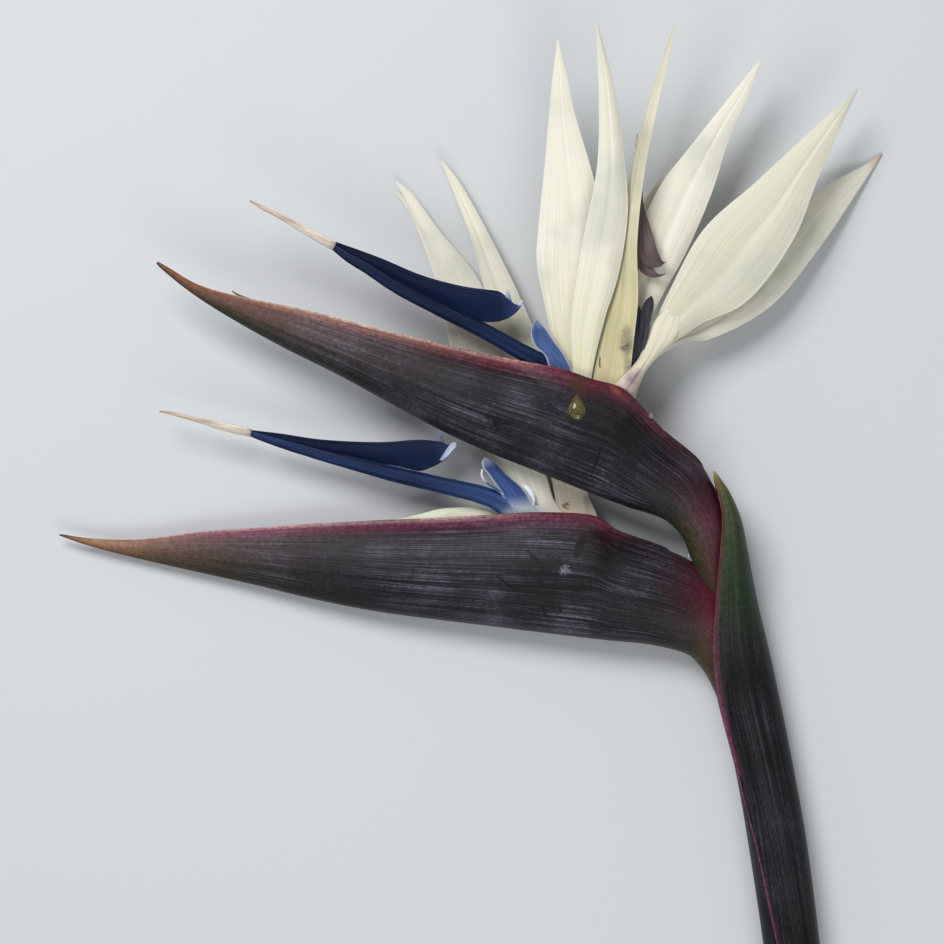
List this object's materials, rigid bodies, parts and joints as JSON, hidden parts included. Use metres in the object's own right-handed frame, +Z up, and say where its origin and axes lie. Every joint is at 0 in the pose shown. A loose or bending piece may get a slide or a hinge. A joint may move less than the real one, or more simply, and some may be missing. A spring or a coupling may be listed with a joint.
{
  "type": "bird of paradise flower",
  "caption": "Giant white bird of paradise flower head, cut and lying on its side: two dark boat-shaped spathes, cream sepals and blue arrow petals.",
  "frame": {"origin": "centre of the small flattened spot under the node, where the two spathes leave the stalk, on the surface that the flower lies on", "axes": "+Z up from the surface, +Y from the cut stalk towards the sepals' tips, -X towards the spathes' tips"},
  "size_m": [0.4142, 0.4871, 0.0604],
  "materials": {
    "stalk_skin": "waxy grey-purple plant skin with fine lengthwise lines",
    "sheath_skin": "waxy grey-purple bract with a pink margin and a green patch",
    "spathe_skin": "leathery dark purple bract with a grey bloom, red rim and tan tip",
    "flower_base_flesh": "moist pinkish white flesh",
    "sepal_cream": "thin cream-white sepal with soft lengthwise veins",
    "bud_sepal_pale": "pale greenish white sepal edge",
    "petal_blue": "satin dark blue petal with darker lengthwise ridges",
    "petal_pale_blue": "pale blue petal with a whitish edge",
    "petal_withered": "dry mauve-brown petal",
    "stigma_tan": "dry fibrous tan stigma",
    "nectar": "clear honey-coloured nectar"
  },
  "bodies": {
    "root": {"stalk": "stalk_skin", "sheath": "sheath_skin", "lower_spathe": "spathe_skin", "upper_spathe": "spathe_skin", "lower_flower_base": "flower_base_flesh", "upper_flower_base_1": "flower_base_flesh", "upper_flower_base_2": "flower_base_flesh", "lower_sepal_1": "sepal_cream", "lower_sepal_2": "sepal_cream", "lower_sepal_3": "sepal_cream", "upper_sepal_1": "sepal_cream", "upper_sepal_2": "sepal_cream", "upper_sepal_3": "sepal_cream", "upper_sepal_4": "sepal_cream", "upper_sepal_5": "sepal_cream", "upper_sepal_6": "sepal_cream", "upper_sepal_7": "sepal_cream", "bud_sepal": "bud_sepal_pale", "upper_arrow": "petal_blue", "lower_arrow": "petal_blue", "upper_small_petal": "petal_pale_blue", "lower_small_petal": "petal_pale_blue", "withered_arrow": "petal_withered", "withered_small_petal": "petal_withered", "upper_stigma": "stigma_tan", "lower_stigma": "stigma_tan", "withered_stigma": "stigma_tan", "nectar_drop": "nectar"}
  },
  "joints": []
}
